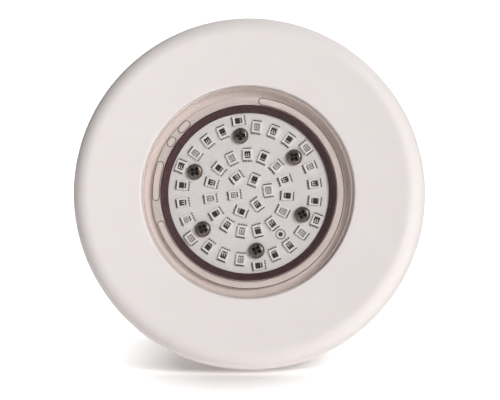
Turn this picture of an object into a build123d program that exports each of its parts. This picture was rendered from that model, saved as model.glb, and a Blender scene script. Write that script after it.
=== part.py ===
"""Underwater pool light: a white face ring round a clear lens, a round board of 45 colour-changing
packages behind it, and a threaded body that screws into a 1 1/2 inch wall socket.

Everything is drawn on the light's own axis, with +Z pointing out of the pool wall through the lens and
z = 0 on the wall. save() then turns it so that the light faces -Y in the row frame, with +Z up.
Sizes are in millimetres and angles in degrees, counter-clockwise as seen from in front."""

import math
import os

from build123d import *

os.makedirs("parts", exist_ok=True)

# Face ring
RING_R = 55.0  # outer radius at the wall
RING_HEIGHT = 14.0  # wall to the front's outer corner, before it is rounded off
RING_WALL = 2.4
RING_EDGE_ROUND = 5.4
RING_DRAFT = 0.5  # the rim is this much smaller at the front than at the wall
RING_DISH = 1.4  # the front falls by this much from its outer part to the aperture
APERTURE_R = 33.3
APERTURE_ROUND = 1.1
SKIRT_R = 41.4  # inner face of the skirt that carries the bayonet lugs
SKIRT_WALL = 2.0
SKIRT_BACK = 1.2
RIB_COUNT = 12
RIB_THICK = 1.6

# Bayonet between the face ring and the housing
LUG_COUNT = 4
LUG_FIRST = 45.0
RING_LUG_WIDTH = 20.0
HOUSING_LUG_WIDTH = 26.0
LUG_STOP_WIDTH = 2.4
RING_LUG_Z = (1.8, 4.2)
HOUSING_LUG_Z = (4.4, 6.6)
LUG_INNER_R = 38.6
LUG_OUTER_R = 41.0

# Lens and its seals
LENS_R = 32.7
LENS_THICK = 3.0
LENS_BACK = 9.1
LENS_CHAMFER = 0.5
SEALANT_THICK = 0.2
GASKET_R = (25.15, 27.45)
GASKET_LAND = 0.6  # width that bears on the lens
GASKET_FOOT = 0.5  # height of its inner edge above the board
BUBBLE_BAND = (27.8, 29.95)  # inner and outer radius of the air bubbles trapped in the sealant
# First and last angle of each trapped bubble; the last one runs most of the way round.
BUBBLES = ((129.6, 138.4), (143.0, 149.4), (160.0, 184.6), (197.7, 443.4))

# Housing: a shallow cup in front of the wall, and a threaded stub behind it
CUP_R = 34.6
CUP_BORE_R = 27.55
FLOOR_THICK = 2.5
FLANGE_R = 38.2
GROOVE_R = (30.15, 32.1)
GROOVE_DEPTH = 1.0
LIP_BORE_R = 32.85
LIP_TOP = 9.9
THREAD_CREST_R = 23.9  # G 1 1/2: 47.8 mm across the crests. The thread is drawn as its crest cylinder
THREAD_ROOT_R = 22.42
THREAD_Z = (-24.0, -3.0)
THREAD_LEAD_IN = 1.6
PILOT_R = 22.0
STUB_END = -36.0
STUB_BORE_R = 20.0
REAR_WALL = 4.0
NECK_RING_SECTION_R = 1.3
NECK_RECESS = (25.6, 0.8)  # radius and depth of the recess in the flange's back that seats the O-ring

# LED board
BOARD_R = 26.6
BOARD_THICK = 1.6
BOARD_TOP = 6.9
SCREW_CIRCLE_R = 18.15
SCREW_FIRST = 38.0
SCREW_COUNT = 6
SCREW_SHANK_R = 1.25
SCREW_HEAD_R = 2.5
SCREW_HEAD_HEIGHT = 1.7
RECESS_ARM = (0.62, 2.9, 1.0)  # width, length and depth of each arm of the cross recess
THREAD_PLAY = 0.05  # radial gap left where a screw sits in its hole

# LED packages, 3.5 x 2.8 mm
PACKAGE = (3.5, 2.8, 0.8)
WINDOW = (2.3, 1.9, 0.3)
OUTER_RING_R = 20.85
OVER_SCREW_R = 22.9
MIDDLE_RING_R = 12.1
MIDDLE_FIRST = 67.8
INNER_ACROSS_R = 6.2
INNER_ACROSS_FIRST = 247.6
INNER_ALONG_R = 4.5
INNER_ALONG_FIRST = 67.2
COLOURS = ("red", "green", "blue")

# Heat sink
PAD_R = 25.0
PAD_THICK = 0.3
SINK_PLATE_R = 27.3
SINK_HUB_R = 19.6
SINK_HUB_END = -9.0
SINK_BORE_R = 5.0
FIN_SLOTS = 12
FIN_SLOT = (9.0, 1.6, 8.0)  # radial length, width and depth

# Driver
DRIVER_R = 17.5
DRIVER_TOP = -16.0
DRIVER_THICK = 1.6
STANDOFF_CIRCLE_R = 13.5
STANDOFF_FIRST = 15.0
STANDOFF_COUNT = 3
STANDOFF_R = 2.6
# The back of the driver board, with its own +Z pointing backwards, and the terminal block's place on it
BACK_OF_DRIVER = Pos(0, 0, DRIVER_TOP - DRIVER_THICK) * Rot(180, 0, 0)
BLOCK_PLACE = BACK_OF_DRIVER * Pos(0, -9.6, 0)

# Cable gland, M16 x 1.5 for a 7 mm cable
GLAND_THREAD_R = 8.0
GLAND_HEX_R = 11.0  # half the 22 mm across flats
GLAND_WASHER_THICK = 1.5
GLAND_HEX_LENGTH = 5.0
GLAND_NECK_LENGTH = 9.0
GLAND_INNER_LENGTH = 6.0
GLAND_BORE_R = 5.0
CABLE_R = 3.5
NUT_MOUTH_R = 4.8
NUT_LENGTH = 15.5
NUT_GAP = 0.8
SLIP_RING_THICK = 1.0


def turned(points, rounds=()):
    """A solid turned about Z from an outline of (radius, height) points; rounds lists (corner, radius)."""
    outline = make_face(Polyline(*points, close=True))
    for corner, radius in rounds:
        nearest = outline.vertices().sort_by_distance((*points[corner], 0))[0]
        outline = fillet(nearest, radius)
    return revolve(Plane.XZ * outline, Axis.Z)


def disc(radius, low, high, bore=0.0):
    """A disc or ring between two heights."""
    flat = Circle(radius) - Circle(bore) if bore else Circle(radius)
    return Pos(0, 0, low) * extrude(flat, high - low)


def sector(inner, outer, first, last, low, high):
    """A block bounded by two radii, two angles and two heights."""
    middle = math.radians((first + last) / 2)
    start, end = math.radians(first), math.radians(last)

    def at(radius, angle):
        return (radius * math.cos(angle), radius * math.sin(angle))

    edges = Line(at(inner, start), at(outer, start))
    edges += ThreePointArc(at(outer, start), at(outer, middle), at(outer, end))
    edges += Line(at(outer, end), at(inner, end))
    edges += ThreePointArc(at(inner, end), at(inner, middle), at(inner, start))
    return Pos(0, 0, low) * extrude(make_face(edges), high - low)


def around(radius, first, count, way=1):
    """The places and angles of count things spaced evenly on a circle; way is -1 to go clockwise."""
    for index in range(count):
        angle = first + way * index * 360.0 / count
        place = Rot(0, 0, angle) * Pos(radius, 0, 0)
        yield place, angle


def hexagon(flat_r, low, high):
    """A hexagonal bar with its corners turned off at both ends."""
    bar = Pos(0, 0, low) * extrude(RegularPolygon(flat_r, 6, major_radius=False), high - low)
    corner_r, cut = flat_r / math.cos(math.pi / 6), 0.9
    body = turned(
        (
            (0, low),
            (corner_r - cut, low),
            (corner_r + 0.2, low + cut * 0.7),
            (corner_r + 0.2, high - cut * 0.7),
            (corner_r - cut, high),
            (0, high),
        )
    )
    return bar & body


def pan_screw(under_head, shank_length, facing=1):
    """A cross-recessed pan head screw; facing is +1 for a head that points along +Z."""
    head = turned(
        (
            (0, 0),
            (SCREW_HEAD_R, 0),
            (SCREW_HEAD_R, SCREW_HEAD_HEIGHT),
            (0, SCREW_HEAD_HEIGHT),
        ),
        rounds=((2, 1.0),),
    )
    shank = disc(SCREW_SHANK_R - THREAD_PLAY, -shank_length, 0)
    width, length, depth = RECESS_ARM
    arm = Pos(0, 0, SCREW_HEAD_HEIGHT - depth / 2) * Box(length, width, depth)
    screw = head + chamfer(shank.edges().sort_by(Axis.Z)[0], 0.4) - arm - Rot(0, 0, 90) * arm
    flip = Rot(0, 0, 0) if facing > 0 else Rot(180, 0, 0)
    return Pos(0, 0, under_head) * flip * screw


def save(name, *solids):
    """Turns the solids to face -Y and writes them as one node."""
    row_frame = Rot(90, 0, 0)
    placed = [row_frame * piece for solid in solids for piece in solid.solids()]
    node = placed[0] if len(placed) == 1 else Compound(children=placed)
    export_step(node, f"parts/{name}.step")


def face_ring():
    """The snap-round cover: a dished plate, a rounded rim, a skirt with bayonet lugs, and stiffening ribs."""
    plate = RING_WALL + 0.1
    front_r = RING_R - RING_DRAFT
    shell = turned(
        (
            (RING_R, 0),
            (front_r, RING_HEIGHT),
            (APERTURE_R, RING_HEIGHT - RING_DISH),
            (APERTURE_R, RING_HEIGHT - RING_DISH - plate),
            (front_r - RING_WALL, RING_HEIGHT - plate),
            (RING_R - RING_WALL, 0),
        ),
        rounds=((1, RING_EDGE_ROUND), (4, RING_EDGE_ROUND - RING_WALL), (2, APERTURE_ROUND), (3, 0.5)),
    )
    under_plate = RING_HEIGHT - plate - 0.05
    skirt = disc(SKIRT_R + SKIRT_WALL, SKIRT_BACK, under_plate, bore=SKIRT_R)
    ring = shell + skirt
    rib_length = RING_R - RING_WALL - SKIRT_R - SKIRT_WALL + 0.6
    rib_low = SKIRT_BACK + 1.0
    rib = Pos(0, 0, (rib_low + under_plate) / 2) * Box(rib_length, RIB_THICK, under_plate - rib_low)
    for place, _ in around(SKIRT_R + SKIRT_WALL + rib_length / 2 - 0.3, LUG_FIRST + 15, RIB_COUNT):
        ring += place * rib
    for _, angle in around(SKIRT_R, LUG_FIRST, LUG_COUNT):
        half = RING_LUG_WIDTH / 2
        ring += sector(LUG_INNER_R, SKIRT_R + 0.5, angle - half, angle + half, *RING_LUG_Z)
    return ring


def housing():
    """The moulded body: cup, wall flange, bayonet lugs and threaded stub with its rear wall."""
    land = LENS_BACK - SEALANT_THICK
    groove_floor = land - GROOVE_DEPTH
    shelf = LENS_BACK
    body = turned(
        (
            (STUB_BORE_R, STUB_END + REAR_WALL),
            (STUB_BORE_R, FLOOR_THICK),
            (CUP_BORE_R, FLOOR_THICK),
            (CUP_BORE_R, land),
            (GROOVE_R[0], land),
            (GROOVE_R[0], groove_floor),
            (GROOVE_R[1], groove_floor),
            (GROOVE_R[1], shelf),
            (LIP_BORE_R, shelf),
            (LIP_BORE_R, LIP_TOP),
            (CUP_R, LIP_TOP),
            (CUP_R, FLOOR_THICK),
            (FLANGE_R, FLOOR_THICK),
            (FLANGE_R, 0),
            (NECK_RECESS[0], 0),
            NECK_RECESS,
            (THREAD_ROOT_R, NECK_RECESS[1]),
            (THREAD_ROOT_R, THREAD_Z[1]),
            (THREAD_CREST_R, THREAD_Z[1] - THREAD_LEAD_IN),
            (THREAD_CREST_R, THREAD_Z[0] + THREAD_LEAD_IN),
            (PILOT_R, THREAD_Z[0]),
            (PILOT_R, STUB_END),
            (GLAND_THREAD_R + THREAD_PLAY, STUB_END),
            (GLAND_THREAD_R + THREAD_PLAY, STUB_END + REAR_WALL),
        ),
        rounds=((13, 0.6), (21, 1.0), (10, 0.4)),
    )
    half = HOUSING_LUG_WIDTH / 2
    for _, angle in around(CUP_R, LUG_FIRST, LUG_COUNT):
        body += sector(CUP_R - 0.3, LUG_OUTER_R, angle - half, angle + half, *HOUSING_LUG_Z)
        stop_low = RING_LUG_Z[0]
        stop = (angle - half, angle - half + LUG_STOP_WIDTH)
        body += sector(LUG_INNER_R + 0.2, LUG_OUTER_R, *stop, stop_low, HOUSING_LUG_Z[0] + 0.2)
    return body


def neck_o_ring():
    """The ring that seals the socket's mouth, seated in the recess of the flange's back."""
    section_r = NECK_RING_SECTION_R
    middle = NECK_RECESS[1] - section_r - THREAD_PLAY
    return Pos(0, 0, middle) * Torus(THREAD_ROOT_R + section_r + THREAD_PLAY, section_r)


def lens():
    """The clear front disc, chamfered at its front edge."""
    front = LENS_BACK + LENS_THICK
    return turned(
        (
            (0, LENS_BACK),
            (LENS_R, LENS_BACK),
            (LENS_R, front - LENS_CHAMFER),
            (LENS_R - LENS_CHAMFER, front),
            (0, front),
        )
    )


def lens_sealant():
    """The thin clear film that bonds the lens to the housing, with the air bubbles left open in it."""
    low = LENS_BACK - SEALANT_THICK
    film = disc(GROOVE_R[0], low, LENS_BACK, bore=CUP_BORE_R)
    inner, outer = BUBBLE_BAND
    middle, end_r = (inner + outer) / 2, (outer - inner) / 2
    for first, last in BUBBLES:
        end_angle = math.degrees(end_r / middle)
        spans = max(1, math.ceil((last - first) / 120))
        step = (last - first - 2 * end_angle) / spans
        for index in range(spans if step > 0.5 else 0):
            begin = first + end_angle + index * step
            film -= sector(inner, outer, begin, begin + step, low - 1, LENS_BACK + 1)
        for angle in (first + end_angle, last - end_angle):
            film -= Rot(0, 0, angle) * Pos(middle, 0, 0) * disc(end_r, low - 1, LENS_BACK + 1)
    return film


def lens_gasket():
    """The dark rubber ring between the rim of the board and the back of the lens, with a face that slopes
    down to the board."""
    inner, outer = GASKET_R
    return turned(
        (
            (inner, BOARD_TOP),
            (outer, BOARD_TOP),
            (outer, LENS_BACK),
            (outer - GASKET_LAND, LENS_BACK),
            (inner, BOARD_TOP + GASKET_FOOT),
        ),
        rounds=((3, 0.3), (4, 0.2)),
    )


def led_board():
    """The round board that carries the packages, drilled for its six screws."""
    board = disc(BOARD_R, BOARD_TOP - BOARD_THICK, BOARD_TOP)
    hole = disc(SCREW_SHANK_R + 0.1, BOARD_TOP - BOARD_THICK - 1, BOARD_TOP + 1)
    for place, _ in around(SCREW_CIRCLE_R, SCREW_FIRST, SCREW_COUNT):
        board -= place * hole
    return board


def led_places():
    """The place of every package, the three colours in turn. A package lies along the radius, or across it
    where a screw or a neighbour needs the room."""
    per_screw = 4
    outer_count = SCREW_COUNT * per_screw
    for place, _ in around(OVER_SCREW_R, SCREW_FIRST + 60, SCREW_COUNT):
        yield place * Rot(0, 0, 90)
    for index, (place, _) in enumerate(around(OUTER_RING_R, SCREW_FIRST, outer_count)):
        if index % per_screw:
            yield place
    for place, _ in around(MIDDLE_RING_R, MIDDLE_FIRST, 15):
        yield place
    for place, _ in around(INNER_ACROSS_R, INNER_ACROSS_FIRST, 3, way=-1):
        yield place * Rot(0, 0, 90)
    for place, _ in around(INNER_ALONG_R, INNER_ALONG_FIRST, 3, way=-1):
        yield place


def led_package():
    """One package: a white box with a sunk window in its front."""
    length, width, height = PACKAGE
    body = Pos(0, 0, BOARD_TOP + height / 2) * Box(length, width, height)
    body = chamfer(body.edges().filter_by(Axis.Z), 0.15)
    window = Pos(0, 0, BOARD_TOP + height - WINDOW[2] / 2) * Box(*WINDOW)
    return body - window


def thermal_pad():
    """The soft pad between the board and the heat sink."""
    top = BOARD_TOP - BOARD_THICK
    pad = disc(PAD_R, top - PAD_THICK, top, bore=SINK_BORE_R)
    hole = disc(SCREW_SHANK_R + 0.25, top - PAD_THICK - 1, top + 1)
    for place, _ in around(SCREW_CIRCLE_R, SCREW_FIRST, SCREW_COUNT):
        pad -= place * hole
    return pad


def heat_sink():
    """The aluminium plate and finned hub that the board is screwed to."""
    top = BOARD_TOP - BOARD_THICK - PAD_THICK
    sink = turned(
        (
            (SINK_BORE_R, SINK_HUB_END),
            (SINK_HUB_R, SINK_HUB_END),
            (SINK_HUB_R, FLOOR_THICK),
            (SINK_PLATE_R, FLOOR_THICK),
            (SINK_PLATE_R, top),
            (SINK_BORE_R, top),
        )
    )
    length, width, depth = FIN_SLOT
    slot = Pos(0, 0, SINK_HUB_END + depth / 2 - 0.5) * Box(length + 1, width, depth + 1)
    for place, _ in around(SINK_HUB_R - length / 2 + 0.5, 0, FIN_SLOTS):
        sink -= place * slot
    tapped = disc(SCREW_SHANK_R, -4, top + 1)
    for place, _ in around(SCREW_CIRCLE_R, SCREW_FIRST, SCREW_COUNT):
        sink -= place * tapped
    for place, _ in around(STANDOFF_CIRCLE_R, STANDOFF_FIRST, STANDOFF_COUNT):
        sink -= place * disc(SCREW_SHANK_R, SINK_HUB_END - 1, SINK_HUB_END + 6)
    return sink


def standoff():
    """A hexagonal spacer: a stud at its front end, a tapped hole at the back."""
    stud = disc(SCREW_SHANK_R - THREAD_PLAY, SINK_HUB_END, SINK_HUB_END + 5)
    bar = Pos(0, 0, DRIVER_TOP) * extrude(
        RegularPolygon(STANDOFF_R, 6, major_radius=False), SINK_HUB_END - DRIVER_TOP
    )
    return stud + bar - disc(SCREW_SHANK_R, DRIVER_TOP - 1, DRIVER_TOP + 4.5)


def driver_board():
    """The round power board inside the stub."""
    board = disc(DRIVER_R, DRIVER_TOP - DRIVER_THICK, DRIVER_TOP)
    for place, _ in around(STANDOFF_CIRCLE_R, STANDOFF_FIRST, STANDOFF_COUNT):
        board -= place * disc(SCREW_SHANK_R + 0.1, DRIVER_TOP - 3, DRIVER_TOP + 1)
    return board


def on_driver(radius, angle, turn, shape):
    """Puts a component on the front of the driver board."""
    return Rot(0, 0, angle) * Pos(radius, 0, DRIVER_TOP) * Rot(0, 0, turn) * shape


def standing_box(length, width, height, edge=0.3):
    """A component body that stands on z = 0."""
    block = Pos(0, 0, height / 2) * Box(length, width, height)
    return chamfer(block.faces().sort_by(Axis.Z)[-1].edges(), edge)


def capacitor():
    """An aluminium can capacitor, with the groove rolled in round its foot."""
    return turned(
        ((0, 0), (3.1, 0), (3.1, 0.9), (2.8, 1.2), (3.1, 1.5), (3.1, 6.2), (0, 6.2)), rounds=((5, 0.4),)
    )


def choke():
    """A drum choke: a winding between two square flanges."""
    flange = Box(8, 8, 1)
    return Pos(0, 0, 0.5) * flange + disc(3.6, 0, 5) + Pos(0, 0, 4.5) * flange


def terminal_block():
    """The two-way block that takes the supply cores, with a wire entry and a screw well for each."""
    block = standing_box(10.0, 7.6, 8.5, edge=0.5)
    for x in (-2.5, 2.5):
        block -= Pos(x, -3.0, 3.2) * Box(3.0, 4.0, 3.4)
        block -= Pos(x, 0.8, 0) * disc(1.7, 6.0, 9.0)
    return BLOCK_PLACE * block


def terminal_screw(x):
    """A slotted screw at the bottom of its well."""
    screw = disc(1.6, 6.0, 7.4) - Pos(0, 0, 7.4) * Box(3.4, 0.5, 1.0)
    return BLOCK_PLACE * Pos(x, 0.8, 0) * screw


def lead_wire(slot):
    """One core from the plug on the LED board back to the driver board."""
    x = slot * 1.9
    back_x, back_y = slot * 2.4, 3.4
    front, back = BOARD_TOP - BOARD_THICK - 5.0, DRIVER_TOP
    route = FilletPolyline(
        (x, 0, front), (x, 0, front - 4.5), (back_x, back_y, back + 5.5), (back_x, back_y, back), radius=4.0
    )
    return sweep(Plane(origin=route @ 0, z_dir=route % 0) * Circle(0.5), path=route)


def gland_body():
    """The fixed half of the cable gland: inner thread, hexagon, and the neck that the nut runs on."""
    face = STUB_END - GLAND_WASHER_THICK
    hex_end = face - GLAND_HEX_LENGTH
    neck_end = hex_end - GLAND_NECK_LENGTH
    inner_end = STUB_END + GLAND_INNER_LENGTH
    body = disc(GLAND_THREAD_R, face - 0.5, inner_end) + hexagon(GLAND_HEX_R, hex_end, face)
    body += disc(GLAND_THREAD_R, neck_end, hex_end + 0.5)
    seat_r = 6.3
    bore = turned(
        (
            (0, inner_end + 1),
            (GLAND_BORE_R, inner_end + 1),
            (GLAND_BORE_R, hex_end + 0.3),
            (seat_r, hex_end - 1.0),
            (seat_r, neck_end - 1),
            (0, neck_end - 1),
        )
    )
    return body - bore


def gland_seal():
    """The rubber sleeve that the nut squeezes on to the cable."""
    front = STUB_END - GLAND_WASHER_THICK - GLAND_HEX_LENGTH - 1.2
    back = STUB_END - GLAND_WASHER_THICK - GLAND_HEX_LENGTH - GLAND_NECK_LENGTH - 1.0
    return turned(
        ((CABLE_R, front), (6.0, front), (6.2, front - 1), (6.2, back + 1.6), (5.4, back), (CABLE_R, back))
    )


def slip_ring():
    """The thrust ring between the turning nut and the seal."""
    front = STUB_END - GLAND_WASHER_THICK - GLAND_HEX_LENGTH - GLAND_NECK_LENGTH - 1.05
    return disc(7.4, front - SLIP_RING_THICK, front, bore=NUT_MOUTH_R)


def gland_nut():
    """The domed nut that closes the gland."""
    hex_end = STUB_END - GLAND_WASHER_THICK - GLAND_HEX_LENGTH
    front = hex_end - NUT_GAP
    back = front - NUT_LENGTH
    shoulder = hex_end - GLAND_NECK_LENGTH - 1.05 - SLIP_RING_THICK - 0.05
    dome_start = front - 9.5
    body = hexagon(GLAND_HEX_R, dome_start, front)
    dome = turned(
        ((0, dome_start + 1), (10.2, dome_start + 1), (10.2, dome_start - 1), (6.6, back), (0, back)),
        rounds=((2, 3.0), (3, 0.9)),
    )
    bore = disc(GLAND_THREAD_R + THREAD_PLAY, shoulder, front + 1) + disc(NUT_MOUTH_R, back - 1, front)
    return body + dome - bore


save("face_ring", face_ring())
save("housing", housing())
save("neck_o_ring", neck_o_ring())
save("lens", lens())
save("lens_sealant", lens_sealant())
save("lens_gasket", lens_gasket())
save("led_board", led_board())
package = led_package()
for number, colour in enumerate(COLOURS):
    save(f"{colour}_leds", *[place * package for place in list(led_places())[number::3]])
board_screw = pan_screw(BOARD_TOP, 6.0)
save(
    "board_screws",
    *[place * board_screw for place, _ in around(SCREW_CIRCLE_R, SCREW_FIRST, SCREW_COUNT)],
)
save("thermal_pad", thermal_pad())
save("heat_sink", heat_sink())
on_standoffs = [place for place, _ in around(STANDOFF_CIRCLE_R, STANDOFF_FIRST, STANDOFF_COUNT)]
save("standoffs", *[place * standoff() for place in on_standoffs])
driver_screw = pan_screw(DRIVER_TOP - DRIVER_THICK, 5.0, facing=-1)
save("driver_screws", *[place * driver_screw for place in on_standoffs])
save("driver_board", driver_board())
save("capacitors", *[on_driver(12.5, angle, 0, capacitor()) for angle in (55, 95)])
save("choke", on_driver(10.5, 315, 45, choke()))
diode = standing_box(4.3, 2.6, 2.2)
save("rectifier_diodes", *[on_driver(11.5, angle, 0, diode) for angle in (165, 182, 199, 216)])
save("driver_chip", Pos(-2.0, -6.0, DRIVER_TOP) * standing_box(8.0, 3.9, 1.5))
transistor = standing_box(4.5, 2.5, 1.5)
save(
    "power_transistors",
    *[BACK_OF_DRIVER * Rot(0, 0, angle) * Pos(7.5, 0, 0) * transistor for angle in (55, 90, 125)],
)
save("terminal_block", terminal_block())
save("terminal_screws", *[terminal_screw(x) for x in (-2.5, 2.5)])
save("led_connector", Pos(0, 0, BOARD_TOP - BOARD_THICK - 2.5) * Box(8.0, 2.5, 5.0))
save("lead_wires", *[lead_wire(slot) for slot in (-1.5, -0.5, 0.5, 1.5)])
save("gland_body", gland_body())
save("gland_washer", disc(10.6, STUB_END - GLAND_WASHER_THICK, STUB_END, bore=GLAND_THREAD_R + 0.1))
save("gland_seal", gland_seal())
save("gland_slip_ring", slip_ring())
save("gland_nut", gland_nut())
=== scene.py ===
"""Looks of the underwater pool light: fine lathe-turned shells, the threaded stub, the lens with its trapped
air bubbles, and the 45 packages and six screws on the board. Sizes are in millimetres until point() turns
them into metres, heights are measured out of the wall, and angles run counter-clockwise seen from the
front."""

import math

import bmesh
import bpy
from mathutils import Matrix, Vector


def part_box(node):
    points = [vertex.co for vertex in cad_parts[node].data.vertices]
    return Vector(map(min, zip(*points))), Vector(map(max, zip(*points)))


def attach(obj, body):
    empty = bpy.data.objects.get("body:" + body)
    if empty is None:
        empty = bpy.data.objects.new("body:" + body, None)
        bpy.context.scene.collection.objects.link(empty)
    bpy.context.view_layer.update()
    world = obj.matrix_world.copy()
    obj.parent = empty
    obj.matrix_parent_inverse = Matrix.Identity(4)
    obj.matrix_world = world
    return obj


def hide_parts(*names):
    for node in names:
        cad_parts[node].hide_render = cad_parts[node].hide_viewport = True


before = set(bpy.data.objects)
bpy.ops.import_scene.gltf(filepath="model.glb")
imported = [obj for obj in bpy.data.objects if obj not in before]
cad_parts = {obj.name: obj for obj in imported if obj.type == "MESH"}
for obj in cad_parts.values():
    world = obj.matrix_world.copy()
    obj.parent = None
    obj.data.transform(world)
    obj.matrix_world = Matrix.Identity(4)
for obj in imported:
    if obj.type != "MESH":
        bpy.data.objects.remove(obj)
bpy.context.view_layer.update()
MM = 0.001
TURN_STEPS = 288


def reach(node):
    """A node's largest radius, and its lowest and highest height, in millimetres."""
    low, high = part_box(node)
    return high.x / MM, -high.y / MM, -low.y / MM


RING_R, _, _ = reach("face_ring")
LENS_R, LENS_BACK, LENS_FRONT = reach("lens")
_, _, BOARD_TOP = reach("led_board")
_, SEALANT_BACK, _ = reach("lens_sealant")
FLANGE_R, STUB_END, LIP_TOP = reach("housing")

# The face ring.
APERTURE_R = 33.3
APERTURE_ROUND = 0.6
RING_CORNER = 14.0  # height of the ring's outer corner, before it is rounded off
RING_DISH = 1.4
RING_BOWL = 0.95  # rise of the bowl from the aperture to where the rim's rounding starts
BOWL_POWER = 1.4
RING_DRAFT = 0.5
RIM_ROUND = 4.9
RING_WALL = 2.4
PLATE = 2.5
SKIRT_R, SKIRT_BACK = (41.4, 43.4), 1.2
RIB_COUNT, RIB_FIRST, RIB_WIDTH = 12, 60, 1.6
RIB_START = 1.0  # a rib starts this far in front of the skirt's back

# The bayonet. A lug's sector is its free radius, half its angle, and its lowest and highest height.
LUG_ANGLES = (45, 135, 225, 315)
RING_LUG = (38.6, 10, 1.8, 4.2)
HOUSING_LUG = (41.0, 13, 4.4, 6.6)
LUG_STOP_R, LUG_STOP_ANGLE, LUG_STOP_HEIGHTS = 38.8, 2.4, (1.8, 4.5)
BURIED = 0.2  # how far a rib or a lug runs into the wall it stands on

# The housing and its stub.
CUP_R, CUP_BORE_R = 34.6, 27.55
LIP_BORE_R = 32.85
FLANGE_THICK = 2.5
CHANNEL_R, CHANNEL_DEPTH = (30.15, 32.1), 1.0
RECESS_R, RECESS_HEIGHT = 25.6, 0.8  # the O-ring's recess in the flange
STUB_BORE_R = 20.0
REAR_WALL, REAR_BORE_R = 4.0, 8.05
PILOT_R, PILOT_CONE = 22.0, 0.6
THREAD_ROOT_R, THREAD_CREST_R, THREAD_PITCH = 22.42, 23.9, 2.309
THREAD_BACK, THREAD_FRONT = -24.0, -3.0
THREAD_FADE = 0.6  # turns over which the thread rises from its root
LAND_RINGS, LAND_RING_START, LAND_RING_PITCH = 3, 0.3, 0.32
LAND_RING_WIDTH, LAND_RING_DEPTH = 0.16, 0.1

# The lens, its sealant and its gasket.
FILM_GAP = 0.01  # keeps two clear faces from lying in one plane
LENS_CHAMFER = 0.5
LENS_RIM_LIGHT_BAND = 0.45  # the outer band of the lens, where the highlight and shade of its rim are painted
BUBBLE_BAND = (27.8, 29.95)
BUBBLES = (  # the angles that each bubble runs between
    (129.6, 138.4), (143.0, 149.4), (160.0, 184.6), (197.7, 443.4),
)
BEAD_R = 0.095
GASKET_R = (25.15, 27.45)
GASKET_TOP_WIDTH = 0.5

# The board's screws.
SCREW_CIRCLE_R, SCREW_FIRST, SCREW_STEP = 18.15, 38.0, 60
SCREW_SPINS = (12, 82, 75, 28, 61, 5)
SCREW_HEAD_R, SCREW_HEAD_HEIGHT = 2.5, 1.7
HEAD_CROWN, HEAD_ROUND, HEAD_EDGE = 0.18, 0.9, 0.35
CROSS_DEPTH = 1.1
CROSS_HALF_WIDTH, CROSS_WALL = 0.5, 0.12
CROSS_REACH, CROSS_END = 1.5, 0.3
CROSS_CENTRE_R, CROSS_CENTRE_WALL = 0.42, 0.15  # the recess is shallower and catches the light in here
CROSS_CENTRE_SHARE = 0.6  # its depth there, as a share of the full depth
CROSS_SHADE_R, CROSS_SHADE_BELOW = 1.6, 0.55  # the painted shade in the recess: its radius, and how far below the top it starts

# The packages stand in rings round the board. A ring is its radius, its first package's angle, the angle from
# each place to the next, and how many places it has.
SCREW_RING = (22.9, SCREW_FIRST + SCREW_STEP, 60, 6)
RIM_RING = (20.85, SCREW_FIRST, 15, 24)
MIDDLE_RING = (12.1, 67.8, 24, 15)
INNER_RING = (6.2, 247.6, -120, 3)
CENTRE_RING = (4.5, 67.2, -120, 3)
PACKAGE_HALF, PACKAGE_HEIGHT, PACKAGE_CORNER = (1.75, 1.4), 0.8, 0.12
PACKAGE_TOP_INSET, PACKAGE_SHOULDER = 0.07, 0.12
WINDOW_HALF, WINDOW_DEPTH, WINDOW_SLOPE, WINDOW_CORNER = (1.15, 0.95), 0.28, 0.12, 0.3
WINDOW_PLATE = (2.2, 1.8, 0.02)
LAYER = 0.01  # the step from each layer in the window to the next
BAR_X, BAR_SIZE, BLUE_BAR_SIZE = -0.9, (0.36, 1.55, 0.03), (0.25, 1.55, 0.03)
RED_PAD_X, RED_PAD_SIZE = 0.27, (1.58, 1.76, 0.03)
BLUE_PAD_X, BLUE_PAD_SIZE = 0.3, (1.5, 1.7, 0.02)
GREEN_COMB = (0.68, 0.66, 0.67, 0.42)  # the spine's place and width, and the arms' pitch and width
BLUE_COMB = (0.98, 0.14, 0.76, 0.13)
COMB_ARM_END = -0.5
CHIP_SPOT, CHIP_SIZE = (0.45, 0.2), (0.34, 0.34, 0.1)
SOLDER_X, SOLDER_SIZE, STRIP_SIZE = 1.97, (0.32, 2.75, 0.34), (0.42, 2.5, 0.16)
DOT_X, DOT_YS, DOT_SIZE = -2.05, (-1.17, -0.4, 0.4, 1.17), (0.44, 0.46, 0.28)

# The placing mark: a dot and a ring, each from one radius to another.
MARK_SPOT = (16.3, 307.7)
MARK_RINGS = ((0.0, 0.7), (1.35, 1.6))
MARK_THICK = 0.03

# The stage, in metres and degrees. A sun's direction is where its light comes from.
FLOOR_LEAN = 11.0  # the light stands on its rim and leans back on the floor by this many degrees
FLOOR_SPAN = 6.0
FLOOR_LIGHT = 0.26  # how brightly the floor lights the object
FLOOR_SEEN = (0.95, 0.12)  # how brightly it glows to the camera, far from the object and in the painted shadow beside it
FLOOR_SHADOW_MIDDLE = (-0.004, 0.035)  # x and y of the middle of the painted shadow beside the object
FLOOR_SHADOW_SPREAD = (0.05, 0.12)  # half of the painted shadow's width and depth
FLOOR_SHADOW_DARKEST = 0.6  # share of the way in from the painted shadow's edge at which it is at its darkest
ROOM_LIGHT, BACKDROP_SEEN = 0.06, 1.1
KEY_ROUND, KEY_OFF = 25.0, 43.0  # the key light's direction round the axis, and its angle off the axis
KEY_STRENGTH, KEY_WIDTH = 2.25, 26
FILL_FROM, FILL_STRENGTH, FILL_WIDTH = (-0.7, -0.6, 0.35), 0.1, 60
TOP_FROM, TOP_STRENGTH, TOP_WIDTH = (0.15, 0.5, 1.0), 1.0, 50
CAMERA_DISTANCE, CAMERA_SIDE, CAMERA_UP = 2.0, 3.5, -4.3
CAMERA_AIM = (0.0, 0, -0.00161)
VIEW_WIDTH, SENSOR_WIDTH = 0.1567, 36.0  # metres across the view at the aim, and the sensor's millimetres


# ---------------------------------------------------------------- geometry

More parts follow.
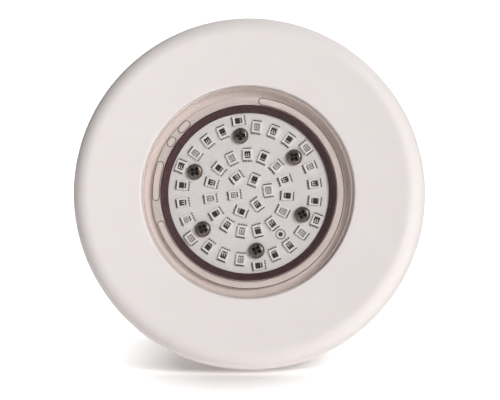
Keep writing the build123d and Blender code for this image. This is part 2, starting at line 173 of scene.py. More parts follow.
def point(radius, angle, height):
    turn = math.radians(angle)
    return Vector((radius * math.cos(turn), -height, radius * math.sin(turn))) * MM


def radius_of(spot):
    return math.hypot(spot.x, spot.z) / MM


def height_of(spot):
    return -spot.y / MM


def clamped(value):
    return min(1.0, max(0.0, value))


def rounded(corners, steps):
    """A closed outline from (radius, height) or (radius, height, rounding) corners."""
    outline = []
    for index, corner in enumerate(corners):
        here = Vector(corner[:2])
        bend = corner[2] if len(corner) > 2 else 0.0
        if not bend:
            outline.append(tuple(here))
            continue
        before = (Vector(corners[index - 1][:2]) - here).normalized()
        after = (Vector(corners[(index + 1) % len(corners)][:2]) - here).normalized()
        half = before.angle(after) / 2
        centre = here + (before + after).normalized() * bend / math.sin(half)
        first = here + before * bend / math.tan(half) - centre
        last = here + after * bend / math.tan(half) - centre
        sweep = first.angle_signed(last)
        for step in range(steps + 1):
            turned = Matrix.Rotation(-sweep * step / steps, 2) @ first
            outline.append(tuple(centre + turned))
    return outline


def add_skin(mesh, rows, closed=True):
    """Quads between each row of vertices and the next, and from the last row to the first if closed."""
    following = rows[1:] + rows[:1] if closed else rows[1:]
    for low, high in zip(rows, following):
        for i in range(len(low)):
            j = (i + 1) % len(low)
            mesh.faces.new((low[i], low[j], high[j], high[i]))


def add_lathe(mesh, outline, closed=True):
    """Turns an outline about the light's axis. Points on the axis become one vertex."""
    rings = []
    for radius, height in outline:
        count = 1 if radius < 1e-6 else TURN_STEPS
        rings.append([mesh.verts.new(point(radius, 360 * i / TURN_STEPS, height)) for i in range(count)])
    following = rings[1:] + rings[:1] if closed else rings[1:]
    for low, high in zip(rings, following):
        for i in range(TURN_STEPS):
            j = (i + 1) % TURN_STEPS
            corners = [low[i % len(low)], low[j % len(low)], high[j % len(high)], high[i % len(high)]]
            unique = list(dict.fromkeys(corners))
            if len(unique) > 2:
                mesh.faces.new(unique)


def add_block(mesh, place, size, bevel=0.0):
    """A box of size (x, y, z) standing on the origin of place."""
    x, y, z = size[0] / 2, size[1] / 2, size[2]
    corners = [(-x, -y), (x, -y), (x, y), (-x, y)]
    foot = [mesh.verts.new(place @ Vector((a, b, 0))) for a, b in corners]
    top = [mesh.verts.new(place @ Vector((a, b, z))) for a, b in corners]
    faces = [mesh.faces.new(foot[::-1]), mesh.faces.new(top)]
    for i in range(4):
        j = (i + 1) % 4
        faces.append(mesh.faces.new((foot[i], foot[j], top[j], top[i])))
    if bevel:
        edges = list({edge for face in faces for edge in face.edges})
        bmesh.ops.bevel(mesh, geom=edges, offset=bevel * MM, segments=2, affect="EDGES", profile=0.7)


def add_sector(mesh, inner, outer, first, last, low, high, steps=24):
    """A block bounded by two radii, two angles and two heights."""
    section = ((inner, low), (outer, low), (outer, high), (inner, high))
    rows = []
    for i in range(steps + 1):
        angle = first + (last - first) * i / steps
        rows.append([mesh.verts.new(point(r, angle, h)) for r, h in section])
    add_skin(mesh, rows, closed=False)
    mesh.faces.new(rows[0])
    mesh.faces.new(rows[-1][::-1])


def standing(radius, angle, height, spin=0.0):
    """A frame on the board: local +X is outward along the radius, turned by spin, and local +Z faces out."""
    turn = math.radians(angle + spin)
    out = Vector((math.cos(turn), 0, math.sin(turn)))
    front = Vector((0, -1, 0))
    across = front.cross(out)
    place = Matrix((out, across, front)).transposed().to_4x4()
    place.translation = point(radius, angle, height)
    return place @ Matrix.Diagonal((MM, MM, MM, 1))


def shifted(place, x, y, z):
    return place @ Matrix.Translation((x, y, z))


def piece(name, mesh, material, body, slot, *replaced, sharp=32.0):
    """Finishes a mesh, makes an object of it and hangs that under its body's empty."""
    bmesh.ops.remove_doubles(mesh, verts=mesh.verts, dist=1e-8)
    bmesh.ops.recalc_face_normals(mesh, faces=mesh.faces)
    data = bpy.data.meshes.new(name)
    mesh.to_mesh(data)
    mesh.free()
    data.shade_smooth()
    data.set_sharp_from_angle(angle=math.radians(sharp))
    data.materials.append(material)
    shown = bpy.data.objects.new(name, data)
    bpy.context.scene.collection.objects.link(shown)
    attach(shown, body)
    if replaced:
        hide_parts(*replaced)
    return shown


def repaint(shown, material, belongs):
    """Gives a second material to the faces whose middle belongs."""
    shown.data.materials.append(material)
    for face in shown.data.polygons:
        if belongs(face.center):
            face.material_index = 1


# ---------------------------------------------------------------- materials

def linear(red, green, blue):
    """A colour given in 0 to 255 as a linear RGBA."""
    def one(value):
        value /= 255
        return value / 12.92 if value <= 0.04045 else ((value + 0.055) / 1.055) ** 2.4
    return (one(red), one(green), one(blue), 1.0)


def scaled(colour, factor):
    return tuple(min(1.0, c * factor) for c in colour[:3]) + (1.0,)


def surface(name, colour, roughness, metallic=0.0, mottle=0.03, patch=90.0, grain=1500.0, bump=0.02,
            bump_depth=0.00003, ior=1.5, coat=0.0, rough_spread=0.06, subsurface=0.0):
    """A moulded, machined or cast surface: patchy colour, uneven gloss and a fine grain."""
    material = bpy.data.materials.new(name)
    material.use_nodes = True
    nodes, links = material.node_tree.nodes, material.node_tree.links
    shader = nodes["Principled BSDF"]
    place = nodes.new("ShaderNodeTexCoord")
    broad = nodes.new("ShaderNodeTexNoise")
    broad.inputs["Scale"].default_value = patch
    broad.inputs["Detail"].default_value = 4.0
    links.new(place.outputs["Object"], broad.inputs["Vector"])
    tint = nodes.new("ShaderNodeValToRGB")
    tint.color_ramp.elements[0].position = 0.3
    tint.color_ramp.elements[0].color = scaled(colour, 1 - mottle)
    tint.color_ramp.elements[1].position = 0.7
    tint.color_ramp.elements[1].color = scaled(colour, 1 + mottle)
    links.new(broad.outputs["Fac"], tint.inputs["Fac"])
    links.new(tint.outputs["Color"], shader.inputs["Base Color"])
    gloss = nodes.new("ShaderNodeMapRange")
    gloss.inputs["To Min"].default_value = max(0.02, roughness - rough_spread)
    gloss.inputs["To Max"].default_value = min(1.0, roughness + rough_spread)
    links.new(broad.outputs["Fac"], gloss.inputs["Value"])
    links.new(gloss.outputs["Result"], shader.inputs["Roughness"])
    fine = nodes.new("ShaderNodeTexNoise")
    fine.inputs["Scale"].default_value = grain
    fine.inputs["Detail"].default_value = 3.0
    links.new(place.outputs["Object"], fine.inputs["Vector"])
    relief = nodes.new("ShaderNodeBump")
    relief.inputs["Strength"].default_value = bump
    relief.inputs["Distance"].default_value = bump_depth
    links.new(fine.outputs["Fac"], relief.inputs["Height"])
    links.new(relief.outputs["Normal"], shader.inputs["Normal"])
    shader.inputs["Metallic"].default_value = metallic
    shader.inputs["IOR"].default_value = ior
    shader.inputs["Coat Weight"].default_value = coat
    shader.inputs["Subsurface Weight"].default_value = subsurface
    shader.inputs["Subsurface Scale"].default_value = 0.002
    return material


def clear(name, colour, low, high, roughness=0.03):
    """A clear solid seen through: nearly invisible face on, and a reflection at a grazing angle."""
    material = surface(name, colour, roughness, mottle=0.01, bump=0.01, rough_spread=0.01)
    nodes, links = material.node_tree.nodes, material.node_tree.links
    shader = nodes["Principled BSDF"]
    facing = nodes.new("ShaderNodeLayerWeight")
    facing.inputs["Blend"].default_value = 0.35
    cover = nodes.new("ShaderNodeMapRange")
    cover.inputs["To Min"].default_value = low
    cover.inputs["To Max"].default_value = high
    links.new(facing.outputs["Fresnel"], cover.inputs["Value"])
    links.new(cover.outputs["Result"], shader.inputs["Alpha"])
    return material


RING_WHITE = surface("ring_abs", linear(240, 233, 231), 0.6, mottle=0.012, patch=60, grain=900, bump=0.05,
                     subsurface=0.05)
HOUSING_WHITE = surface("housing_abs", linear(243, 233, 229), 0.42, mottle=0.025, patch=150, bump=0.08)
# A darker, warmer copy of the housing's plastic: painted shade for the inside of the cup under the lens.
HOUSING_CUP_SHADE = surface("housing_abs_painted_shade", linear(227, 213, 207), 0.42, mottle=0.03, patch=150, bump=0.08)
LENS_CLEAR = clear("lens_clear", linear(238, 236, 238), 0.0, 0.14)
# Painted highlight and shade at the lens's rim: a tinted band that is half clear.
LENS_RIM_LIGHT = clear("lens_rim_painted_light", linear(222, 204, 198), 0.3, 0.6, roughness=0.12)
SEALANT = clear("sealant_clear", linear(232, 222, 220), 0.0, 0.1, roughness=0.1)
# Painted shade: dark, half-clear beads that outline the bubbles in the clear sealant.
SEALANT_RIM_SHADE = clear("sealant_rim_painted_shade", linear(140, 116, 110), 0.5, 0.85, roughness=0.1)
GASKET = surface("gasket_rubber", linear(71, 43, 46), 0.5, mottle=0.08, patch=250, bump=0.1, ior=1.4)
BOARD = surface("board_white", linear(227, 222, 221), 0.34, mottle=0.025, patch=300, grain=2500, bump=0.25)
BOARD_MARK = surface("board_mark", linear(60, 56, 56), 0.5, mottle=0.1, patch=2000)
PACKAGE = surface("led_package", linear(238, 233, 230), 0.36, mottle=0.03, patch=700, bump=0.05)
WINDOW = surface("led_window", linear(222, 214, 210), 0.14, mottle=0.06, patch=900, bump=0.02, coat=0.4)
PAD_DARK = surface("led_pad_dark", linear(44, 36, 40), 0.4, mottle=0.25, patch=2500)
PAD_PALE = surface("led_pad_pale", linear(212, 204, 200), 0.3, metallic=0.3, mottle=0.06, patch=2500)
LED_CHIP = surface("led_chip", linear(120, 96, 110), 0.2, metallic=0.2, mottle=0.2, patch=4000)
SOLDER = surface("solder", linear(104, 96, 94), 0.4, metallic=0.35, mottle=0.55, patch=4200, bump=0.6,
                 bump_depth=0.0001)
SCREW = surface("screw_steel", linear(124, 111, 103), 0.32, metallic=0.8, mottle=0.2, patch=1300, bump=0.3)
# Painted shade in the screws' cross recesses.
SCREW_RECESS_SHADE = surface("screw_recess_painted_shade", linear(16, 12, 11), 0.6, metallic=0.3, mottle=0.2, patch=2000)
BLACK_NYLON = surface("gland_nylon", linear(40, 40, 42), 0.68, mottle=0.1, patch=200, bump=0.5, ior=1.35)
BLACK_RUBBER = surface("rubber_black", linear(34, 33, 33), 0.62, mottle=0.1, patch=300, bump=0.4)
CHIP_BLACK = surface("chip_black", linear(32, 32, 34), 0.5, mottle=0.15, bump=0.4)
CARRIED_OVER = {
    "led_board": BOARD,
    "lens_sealant": SEALANT,
    "neck_o_ring": BLACK_RUBBER,
    "gland_washer": BLACK_RUBBER,
    "gland_seal": BLACK_RUBBER,
    "gland_body": BLACK_NYLON,
    "gland_slip_ring": BLACK_NYLON,
    "gland_nut": BLACK_NYLON,
    "thermal_pad": surface("pad_grey", linear(150, 154, 160), 0.8, mottle=0.08, bump=0.5),
    "heat_sink": surface("sink_aluminium", linear(206, 207, 210), 0.32, metallic=1.0, grain=4000, bump=0.15),
    "standoffs": surface("standoff_brass", linear(206, 170, 96), 0.3, metallic=1.0, bump=0.1),
    "driver_screws": SCREW,
    "terminal_screws": SCREW,
    "driver_board": surface("board_green", linear(20, 92, 52), 0.3, mottle=0.12, patch=500, bump=0.3),
    "capacitors": surface("can_aluminium", linear(190, 192, 196), 0.3, metallic=0.9, bump=0.1),
    "choke": surface("ferrite", linear(60, 58, 58), 0.6, mottle=0.15, bump=0.4),
    "rectifier_diodes": CHIP_BLACK,
    "driver_chip": CHIP_BLACK,
    "power_transistors": CHIP_BLACK,
    "terminal_block": surface("terminal_green", linear(40, 140, 78), 0.4, mottle=0.06, bump=0.2),
    "led_connector": surface("plug_cream", linear(226, 216, 188), 0.45, mottle=0.05, bump=0.2),
    "lead_wires": surface("wire_insulation", linear(196, 40, 34), 0.4, mottle=0.08, bump=0.1),
}


def paint_carried_over():
    for node, material in CARRIED_OVER.items():
        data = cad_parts[node].data
        data.materials.clear()
        data.materials.append(material)


# ---------------------------------------------------------------- shells

def face_ring():
    inner, outer = SKIRT_R
    front_r = RING_R - RING_DRAFT
    aperture_top = RING_CORNER - RING_DISH
    rim_start = front_r - RIM_ROUND
    bowl_width = rim_start - APERTURE_R

    def face_height(radius):
        """The front is a shallow bowl that steepens a little towards the rim."""
        return aperture_top + RING_BOWL * (max(0.0, radius - APERTURE_R) / bowl_width) ** BOWL_POWER

    def under_plate(radius):
        """The height of the plate's back at a radius, a plate's thickness behind the front."""
        return face_height(min(radius, rim_start)) - PLATE

    bowl = [APERTURE_R + bowl_width * step / 10 for step in range(2, 11)]
    rim_slope = BOWL_POWER * RING_BOWL / bowl_width
    rim_corner = face_height(rim_start) + rim_slope * RIM_ROUND
    mesh = bmesh.new()
    add_lathe(mesh, rounded((
        (RING_R, 0, 0.3),
        (front_r, rim_corner, RIM_ROUND - 0.35),
        *[(radius, face_height(radius)) for radius in reversed(bowl)],
        (APERTURE_R, aperture_top, APERTURE_ROUND),
        (APERTURE_R, aperture_top - PLATE, 0.5),
        (inner, under_plate(inner), 0.2),
        (inner, SKIRT_BACK, 0.3),
        (outer, SKIRT_BACK, 0.3),
        (outer, under_plate(outer), 0.2),
        (front_r - RING_WALL, under_plate(front_r), 3.0),
        (RING_R - RING_WALL, 0, 0.3),
    ), steps=14))
    piece("face_ring_shell", mesh, RING_WHITE, "face_ring", "ring_abs", "face_ring")
    ribs = bmesh.new()
    wall_r, rib_foot = RING_R - RING_WALL, SKIRT_BACK + RIB_START
    for index in range(RIB_COUNT):
        place = standing((outer + wall_r) / 2, RIB_FIRST + index * 360 / RIB_COUNT, rib_foot)
        size = (wall_r - outer + BURIED, RIB_WIDTH, under_plate(outer) - rib_foot)
        add_block(ribs, place, size, bevel=0.15)
    lug_r, half, low, high = RING_LUG
    for angle in LUG_ANGLES:
        add_sector(ribs, lug_r, inner + BURIED, angle - half, angle + half, low, high)
    piece("face_ring_ribs", ribs, RING_WHITE, "face_ring", "ring_abs")


def turning_marks(land):
    """Fine rings left by the mould's turning on the land beside the gasket."""
    for index in range(LAND_RINGS):
        radius = CUP_BORE_R + LAND_RING_START + LAND_RING_PITCH * index
        yield radius, land
        yield radius + LAND_RING_WIDTH / 2, land - LAND_RING_DEPTH
        yield radius + LAND_RING_WIDTH, land


def housing():
    land = SEALANT_BACK - FILM_GAP
    floor = land - CHANNEL_DEPTH
    mesh = bmesh.new()
    add_lathe(mesh, rounded((
        (STUB_BORE_R, STUB_END + REAR_WALL),
        (STUB_BORE_R, FLANGE_THICK),
        (CUP_BORE_R, FLANGE_THICK),
        (CUP_BORE_R, land, 0.1),
        *turning_marks(land),
        (CHANNEL_R[0], land, 0.12),
        (CHANNEL_R[0], floor, 0.25),
        (CHANNEL_R[1], floor, 0.25),
        (CHANNEL_R[1], LENS_BACK, 0.1),
        (LIP_BORE_R, LENS_BACK),
        (LIP_BORE_R, LIP_TOP, 0.2),
        (CUP_R, LIP_TOP, 0.4),
        (CUP_R, FLANGE_THICK, 0.5),
        (FLANGE_R, FLANGE_THICK, 0.5),
        (FLANGE_R, 0, 0.4),
        (RECESS_R, 0, 0.1),
        (RECESS_R, RECESS_HEIGHT),
        (THREAD_ROOT_R, RECESS_HEIGHT),
        (THREAD_ROOT_R, THREAD_BACK, 0.3),
        (PILOT_R, THREAD_BACK - PILOT_CONE),
        (PILOT_R, STUB_END, 1.0),
        (REAR_BORE_R, STUB_END, 0.3),
        (REAR_BORE_R, STUB_END + REAR_WALL),
    ), steps=6))
    shown = piece("housing_body", mesh, HOUSING_WHITE, "lamp", "housing_abs", "housing")

    def in_painted_cup_shade(middle):
        low, high = floor - 0.1, LENS_BACK + 0.1
        return CUP_BORE_R + 0.05 < radius_of(middle) < LIP_BORE_R and low < height_of(middle) < high

    # The painted shade goes on the land, the channel and the shelf inside the cup.
    repaint(shown, HOUSING_CUP_SHADE, in_painted_cup_shade)
    lugs = bmesh.new()
    lug_r, half, low, high = HOUSING_LUG
    for angle in LUG_ANGLES:
        first = angle - half
        add_sector(lugs, CUP_R - BURIED, lug_r, first, angle + half, low, high)
        add_sector(lugs, LUG_STOP_R, lug_r, first, first + LUG_STOP_ANGLE, *LUG_STOP_HEIGHTS, steps=4)
    piece("housing_lugs", lugs, HOUSING_WHITE, "lamp", "housing_abs")


def stub_thread():
    """The right-hand thread ridge that stands on the stub, fading out at both ends."""
    # Out from the root as a share of the ridge's depth, and along the axis as a share of the pitch.
    section = ((-0.05, -0.42), (0.55, -0.2), (1.0, -0.08), (1.0, 0.08), (0.55, 0.2), (-0.05, 0.42))
    steps_per_turn = 120
    turns = (THREAD_FRONT - THREAD_BACK - THREAD_PITCH) / THREAD_PITCH
    mesh = bmesh.new()
    rows = []
    for i in range(int(turns * steps_per_turn) + 1):
        turn = i / steps_per_turn
        rise = clamped(min(turn, turns - turn) / THREAD_FADE)
        depth = max(0.02, (THREAD_CREST_R - THREAD_ROOT_R) * rise)
        height = THREAD_BACK + THREAD_PITCH / 2 + turn * THREAD_PITCH
        rows.append([
            mesh.verts.new(point(THREAD_ROOT_R + depth * s, 360.0 * turn, height + THREAD_PITCH * t))
            for s, t in section
        ])
    add_skin(mesh, rows, closed=False)
    mesh.faces.new(rows[0])
    mesh.faces.new(rows[-1][::-1])
    piece("stub_thread", mesh, HOUSING_WHITE, "lamp", "housing_abs", sharp=50)


def lens():
    back = LENS_BACK + FILM_GAP
    mesh = bmesh.new()
    add_lathe(mesh, (
        (0, back),
        (LENS_R, back),
        (LENS_R, LENS_FRONT - LENS_CHAMFER),
        (LENS_R - LENS_CHAMFER, LENS_FRONT),
        (0, LENS_FRONT),
    ), closed=False)
    shown = piece("lens_disc", mesh, LENS_CLEAR, "lamp", "lens_clear", "lens", sharp=20)
    # The lens's outer band gets the painted highlight and shade of its rim.
    repaint(shown, LENS_RIM_LIGHT, lambda middle: radius_of(middle) > LENS_R - LENS_RIM_LIGHT_BAND)


def bubble_outline(first, last):
    """Points round one trapped bubble, as (radius, angle)."""
    inner, outer = BUBBLE_BAND
    middle, end = (inner + outer) / 2, (outer - inner) / 2
    cap, cap_steps = math.degrees(end / middle), 14
    start, stop = first + cap, last - cap
    long_steps = max(2, int((stop - start) / 1.5))
    route = [(outer, start + (stop - start) * i / long_steps) for i in range(long_steps + 1)]
    for i in range(1, cap_steps):
        swing = math.pi * i / cap_steps
        route.append((middle + end * math.cos(swing), stop + cap * math.sin(swing)))
    route += [(inner, stop - (stop - start) * i / long_steps) for i in range(long_steps + 1)]
    for i in range(1, cap_steps):
        swing = math.pi * i / cap_steps
        route.append((middle - end * math.cos(swing), start - cap * math.sin(swing)))
    return route


def add_bead(mesh, route, height):
    """A closed tube that follows (radius, angle) points at one height."""
    spots = [point(r, a, height) for r, a in route]
    front, sides = Vector((0, -1, 0)), 6
    rows = []
    for i, spot in enumerate(spots):
        along = (spots[(i + 1) % len(spots)] - spots[i - 1]).normalized()
        side = along.cross(front)
        row = []
        for k in range(sides):
            turn = 2 * math.pi * k / sides
            row.append(mesh.verts.new(spot + (side * math.cos(turn) + front * math.sin(turn)) * BEAD_R * MM))
        rows.append(row)
    add_skin(mesh, rows)


def sealant_beads():
    mesh = bmesh.new()
    for first, last in BUBBLES:
        add_bead(mesh, bubble_outline(first, last), (SEALANT_BACK + LENS_BACK) / 2)
    # The beads round the bubbles carry painted shade.
    piece("sealant_rim_shade_beads", mesh, SEALANT_RIM_SHADE, "lamp", "sealant_clear")


def gasket():
    inner, outer = GASKET_R
    top = LENS_BACK - FILM_GAP
    mesh = bmesh.new()
    add_lathe(mesh, rounded((
        (inner, BOARD_TOP),
        (outer, BOARD_TOP),
        (outer, top, 0.1),
        (outer - GASKET_TOP_WIDTH, top, 0.2),
        (inner, BOARD_TOP + 0.5, 0.2),
    ), steps=5))
    piece("gasket_ring", mesh, GASKET, "lamp", "rubber_dark", "lens_gasket")


# ---------------------------------------------------------------- board

def led_places():
    """(radius, angle, spin) of every package, the three colours in turn. The narrow pad is at the end that
    faces -X in the package's own frame, which spin turns away from the radius."""
    def places(ring):
        radius, first, step, count = ring
        return [(radius, first + step * index) for index in range(count)]

    for index, place in enumerate(places(SCREW_RING)):
        yield *place, -90 if index % 2 else 90
    for index, place in enumerate(places(RIM_RING)):
        if index % 4:  # every fourth place is left free for a screw
            yield *place, 0
    for ring, spin in ((MIDDLE_RING, 0), (INNER_RING, 90), (CENTRE_RING, 0)):
        for place in places(ring):
            yield *place, spin


def add_package(mesh, place):
    """A white body whose top opens into a sunk window with sloping sides."""
    length, width = PACKAGE_HALF
    window_length, window_width = WINDOW_HALF
    top = PACKAGE_HEIGHT
    levels = (
        (length, width, 0.0, PACKAGE_CORNER),
        (length, width, top - PACKAGE_SHOULDER, PACKAGE_CORNER),
        (length - PACKAGE_TOP_INSET, width - PACKAGE_TOP_INSET, top, PACKAGE_CORNER),
        (window_length + WINDOW_SLOPE, window_width + WINDOW_SLOPE, top, WINDOW_CORNER),
        (window_length, window_width, top - WINDOW_DEPTH, WINDOW_CORNER),
    )
    rings = []
    for x, y, z, corner in levels:
        ring = []
        for sx, sy, start in ((1, 1, 0), (-1, 1, 90), (-1, -1, 180), (1, -1, 270)):
            for step in range(5):
                turn = math.radians(start + 22.5 * step)
                across, along = corner * math.cos(turn), corner * math.sin(turn)
                spot = (sx * (x - corner) + across, sy * (y - corner) + along, z)
                ring.append(mesh.verts.new(place @ Vector(spot)))
        rings.append(ring)
    add_skin(mesh, rings, closed=False)
    mesh.faces.new(rings[0][::-1])
    mesh.faces.new(rings[-1])


def add_comb(mesh, place, spine, spine_width, arm_pitch, arm_width):
    """A pad shaped like an E: a spine with three arms that point at the narrow pad."""
    add_block(mesh, shifted(place, spine, 0, 0), (spine_width, 2 * arm_pitch + arm_width, 0.03))
    for y in (-arm_pitch, 0, arm_pitch):
        arm = shifted(place, (COMB_ARM_END + spine) / 2, y, 0)
        add_block(mesh, arm, (spine - COMB_ARM_END, arm_width, 0.025))


def packages():
    windows, dark, pale, chips, solder = (bmesh.new() for _ in range(5))
    bodies = {"red": bmesh.new(), "green": bmesh.new(), "blue": bmesh.new()}
    for index, (radius, angle, spin) in enumerate(led_places()):
        look = ("red", "green", "blue")[index % 3]
        place = standing(radius, angle, BOARD_TOP, spin)
        floor = shifted(place, 0, 0, PACKAGE_HEIGHT - WINDOW_DEPTH)
        pads = shifted(floor, 0, 0, 2 * LAYER)
        add_package(bodies[look], place)
        add_block(windows, floor, WINDOW_PLATE)
        add_block(dark, shifted(pads, BAR_X, 0, 0), BLUE_BAR_SIZE if look == "blue" else BAR_SIZE)
        if look == "red":
            add_block(dark, shifted(pads, RED_PAD_X, 0, 0), RED_PAD_SIZE)
        elif look == "green":
            add_comb(dark, pads, *GREEN_COMB)
        else:
            add_block(pale, shifted(pads, BLUE_PAD_X, 0, 0), BLUE_PAD_SIZE)
            add_comb(dark, shifted(pads, 0, 0, LAYER), *BLUE_COMB)
        chip = pale if look == "blue" else chips
        add_block(chip, shifted(pads, *CHIP_SPOT, 3 * LAYER), CHIP_SIZE, bevel=0.02)
        add_block(solder, shifted(place, SOLDER_X, 0, 0), SOLDER_SIZE, bevel=0.08)
        add_block(pale, shifted(place, -SOLDER_X, 0, 0), STRIP_SIZE, bevel=0.05)
        for y in DOT_YS:
            add_block(solder, shifted(place, DOT_X, y, 0), DOT_SIZE, bevel=0.08)
    for colour, mesh in bodies.items():
        piece(f"{colour}_led_bodies", mesh, PACKAGE, "lamp", f"led_{colour}", f"{colour}_leds")
    piece("led_windows", windows, WINDOW, "lamp", "led_blue")
    piece("led_pads_dark", dark, PAD_DARK, "lamp", "led_red")
    piece("led_pads_pale", pale, PAD_PALE, "lamp", "led_blue")
    piece("led_chips", chips, LED_CHIP, "lamp", "led_red")
    piece("led_solder", solder, SOLDER, "lamp", "screw_steel")


def screw_height(x, y):
    """The height of a pan head with a tapering cross recess, over a point on it."""
    radius = math.hypot(x, y)
    crown = 1.0 - HEAD_CROWN * (radius / SCREW_HEAD_R) ** 2
    rim = math.sqrt(1 - clamped((radius - SCREW_HEAD_R + HEAD_ROUND) / HEAD_ROUND) ** 2)
    height = SCREW_HEAD_HEIGHT * (HEAD_EDGE + (1 - HEAD_EDGE) * rim) * crown
    depth = 0.0
    for along, across in ((abs(x), abs(y)), (abs(y), abs(x))):
        wall = clamped((CROSS_HALF_WIDTH - across) / CROSS_WALL)
        end = clamped((CROSS_REACH - along) / CROSS_END)
        depth = max(depth, wall * end)
    centre = clamped((CROSS_CENTRE_R - radius) / CROSS_CENTRE_WALL)
    shallower = 1 - (1 - CROSS_CENTRE_SHARE) * centre
    return height - CROSS_DEPTH * max(depth * shallower, centre * CROSS_CENTRE_SHARE)


def screws():
    mesh = bmesh.new()
    rings, sides = 46, 96
    circle = [(math.cos(2 * math.pi * j / sides), math.sin(2 * math.pi * j / sides)) for j in range(sides)]
    angles = [SCREW_FIRST + SCREW_STEP * index for index in range(len(SCREW_SPINS))]
    for angle, spin in zip(angles, SCREW_SPINS):
        place = standing(SCREW_CIRCLE_R, angle, BOARD_TOP, spin)
        rows = []
        for i in range(rings + 1):
            radius = SCREW_HEAD_R * i / rings
            row = []
            for x, y in circle[:1] if i == 0 else circle:
                x, y = radius * x, radius * y
                row.append(mesh.verts.new(place @ Vector((x, y, screw_height(x, y)))))
            rows.append(row)
        foot = [mesh.verts.new(place @ Vector((SCREW_HEAD_R * x, SCREW_HEAD_R * y, 0))) for x, y in circle]
        rows.append(foot)
        for a, b in zip(rows, rows[1:]):
            for j in range(sides):
                k = (j + 1) % sides
                corners = list(dict.fromkeys((a[j % len(a)], b[j], b[k], a[k % len(a)])))
                mesh.faces.new(corners)
        mesh.faces.new(foot[::-1])
    shown = piece("screw_heads", mesh, SCREW, "lamp", "screw_steel", "board_screws", sharp=60)

    # Painted shade goes on the recess's faces outside its lit centre.
    def in_painted_recess_shade(middle):
        height = height_of(middle)
        nearest = min((middle - point(SCREW_CIRCLE_R, angle, height)).length for angle in angles)
        shade_top = BOARD_TOP + SCREW_HEAD_HEIGHT - CROSS_SHADE_BELOW
        return CROSS_CENTRE_R * MM < nearest < CROSS_SHADE_R * MM and height < shade_top

    repaint(shown, SCREW_RECESS_SHADE, in_painted_recess_shade)


def placing_mark():
    """The plain dot and ring that a placing machine finds the board by."""
    place = standing(*MARK_SPOT, BOARD_TOP)
    steps = 48
    mesh = bmesh.new()
    for inner, outer in MARK_RINGS:
        section = ((inner, 0), (outer, 0), (outer, MARK_THICK), (inner, MARK_THICK))
        rows = []
        for i in range(steps):
            turn = 2 * math.pi * i / steps
            along, across = math.cos(turn), math.sin(turn)
            rows.append([mesh.verts.new(place @ Vector((r * along, r * across, z))) for r, z in section])
        add_skin(mesh, rows)
    piece("board_fiducial", mesh, BOARD_MARK, "lamp", "board_white")


# ---------------------------------------------------------------- stage

def sun(name, spot, strength, angle):
    """A light from the direction of spot, as soft as its angle is wide."""
    data = bpy.data.lights.new(name, "SUN")
    data.angle = math.radians(angle)
    data.energy = strength
    lamp = bpy.data.objects.new(name, data)
    bpy.context.scene.collection.objects.link(lamp)
    lamp.rotation_euler = (-Vector(spot)).to_track_quat("-Z", "Y").to_euler()


def stage():
    mesh = bmesh.new()
    low, lean = -RING_R * MM, math.tan(math.radians(FLOOR_LEAN))
    for x, y in ((-1, -1), (1, -1), (1, 1), (-1, 1)):
        mesh.verts.new((x * FLOOR_SPAN, y * FLOOR_SPAN, low + lean * y * FLOOR_SPAN))
    mesh.faces.new(mesh.verts)
    data = bpy.data.meshes.new("floor")
    mesh.to_mesh(data)
    mesh.free()
    data.materials.append(floor_paper())
    floor = bpy.data.objects.new("floor", data)
    bpy.context.scene.collection.objects.link(floor)
    studio_world()
    off, turn = math.radians(KEY_OFF), math.radians(KEY_ROUND)
    key_from = (math.sin(off) * math.cos(turn), -math.cos(off), math.sin(off) * math.sin(turn))
    sun("key", key_from, KEY_STRENGTH, KEY_WIDTH)
    sun("fill_left", FILL_FROM, FILL_STRENGTH, FILL_WIDTH)
    sun("top_behind", TOP_FROM, TOP_STRENGTH, TOP_WIDTH)


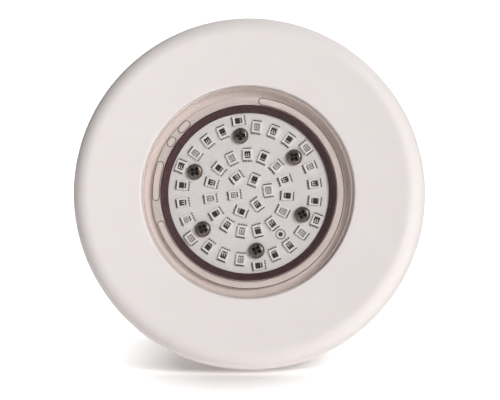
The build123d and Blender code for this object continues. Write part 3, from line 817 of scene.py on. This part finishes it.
def floor_paper():
    """White paper that glows evenly to the camera, with a painted shadow beside the object where the glow is
    weaker.
    """
    paper = surface("floor_white_painted_shadow", linear(250, 247, 246), 0.7, mottle=0.005, bump=0.0)
    nodes, links = paper.node_tree.nodes, paper.node_tree.links
    shader = nodes["Principled BSDF"]
    place = nodes.new("ShaderNodeTexCoord")
    spot = nodes.new("ShaderNodeMapping")
    wide, deep = FLOOR_SHADOW_SPREAD
    spot.inputs["Scale"].default_value = (1 / wide, 1 / deep, 0)
    spot.inputs["Location"].default_value = (-FLOOR_SHADOW_MIDDLE[0] / wide, -FLOOR_SHADOW_MIDDLE[1] / deep, 0)
    # Painted shadow: a patch round the object where the floor glows less to the camera.
    shadow_patch = nodes.new("ShaderNodeTexGradient")
    shadow_patch.gradient_type = "SPHERICAL"
    links.new(place.outputs["Object"], spot.inputs["Vector"])
    links.new(spot.outputs["Vector"], shadow_patch.inputs["Vector"])
    seen = nodes.new("ShaderNodeMapRange")
    seen.inputs["From Max"].default_value = FLOOR_SHADOW_DARKEST
    seen.inputs["To Min"].default_value = FLOOR_SEEN[0]
    seen.inputs["To Max"].default_value = FLOOR_SEEN[1]
    links.new(shadow_patch.outputs["Fac"], seen.inputs["Value"])
    path = nodes.new("ShaderNodeLightPath")
    glow = nodes.new("ShaderNodeMapRange")
    glow.inputs["To Min"].default_value = FLOOR_LIGHT
    links.new(path.outputs["Is Camera Ray"], glow.inputs["Value"])
    links.new(seen.outputs["Result"], glow.inputs["To Max"])
    links.new(glow.outputs["Result"], shader.inputs["Emission Strength"])
    shader.inputs["Emission Color"].default_value = (1, 1, 1, 1)
    shader.inputs["Specular IOR Level"].default_value = 0.0
    return paper


def studio_world():
    """White to the camera, and a dim even room for light."""
    world = bpy.data.worlds.new("studio")
    bpy.context.scene.world = world
    world.use_nodes = True
    nodes, links = world.node_tree.nodes, world.node_tree.links
    room = nodes["Background"]
    room.inputs["Strength"].default_value = ROOM_LIGHT
    room.inputs["Color"].default_value = (1, 0.975, 0.965, 1)
    seen = nodes.new("ShaderNodeBackground")
    seen.inputs["Color"].default_value = (1, 1, 1, 1)
    seen.inputs["Strength"].default_value = BACKDROP_SEEN
    path = nodes.new("ShaderNodeLightPath")
    mix = nodes.new("ShaderNodeMixShader")
    links.new(path.outputs["Is Camera Ray"], mix.inputs["Fac"])
    links.new(room.outputs["Background"], mix.inputs[1])
    links.new(seen.outputs["Background"], mix.inputs[2])
    links.new(mix.outputs["Shader"], nodes["World Output"].inputs["Surface"])


def camera():
    side, up = math.radians(CAMERA_SIDE), math.radians(CAMERA_UP)
    data = bpy.data.cameras.new("camera")
    data.sensor_width = SENSOR_WIDTH
    data.lens = SENSOR_WIDTH * CAMERA_DISTANCE / VIEW_WIDTH
    shot = bpy.data.objects.new("camera", data)
    bpy.context.scene.collection.objects.link(shot)
    way = Vector((math.sin(side) * math.cos(up), -math.cos(side) * math.cos(up), math.sin(up)))
    shot.location = Vector(CAMERA_AIM) + way * CAMERA_DISTANCE
    shot.rotation_euler = (-way).to_track_quat("-Z", "Y").to_euler()
    bpy.context.scene.camera = shot


paint_carried_over()
face_ring()
housing()
stub_thread()
lens()
sealant_beads()
gasket()
packages()
screws()
placing_mark()
stage()
camera()
bpy.context.scene.view_settings.view_transform = "Standard"
